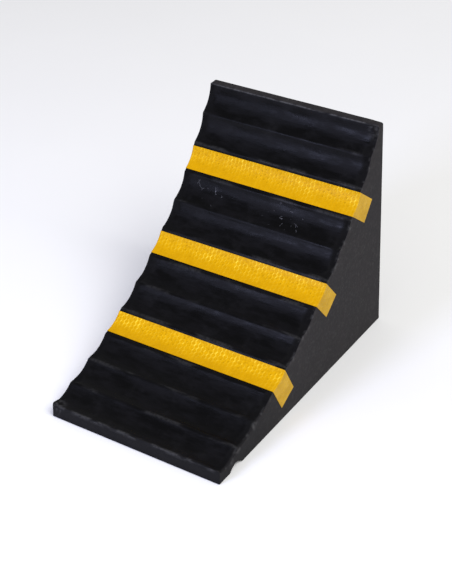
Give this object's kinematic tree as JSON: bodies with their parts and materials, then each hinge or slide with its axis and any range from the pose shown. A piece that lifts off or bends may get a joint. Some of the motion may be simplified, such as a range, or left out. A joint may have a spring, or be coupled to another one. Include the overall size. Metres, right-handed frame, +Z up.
{
  "type": "wheel chock",
  "caption": "Wedge-shaped rubber wheel chock with a concave fluted ramp, a blunt toe, a channel under the toe and yellow reflective strips folded over both sides.",
  "frame": {"origin": "on the ground, under the centre of the block", "axes": "+X towards the blunt toe and the tyre, +Y across the ramp, +Z up"},
  "size_m": [0.25, 0.1608, 0.19],
  "materials": {
    "rubber": "matte moulded black rubber",
    "reflective_tape": "yellow honeycomb reflective film"
  },
  "bodies": {
    "root": {"rubber_body": "rubber", "lower_reflective_strip": "reflective_tape", "middle_reflective_strip": "reflective_tape", "upper_reflective_strip": "reflective_tape"}
  },
  "joints": []
}
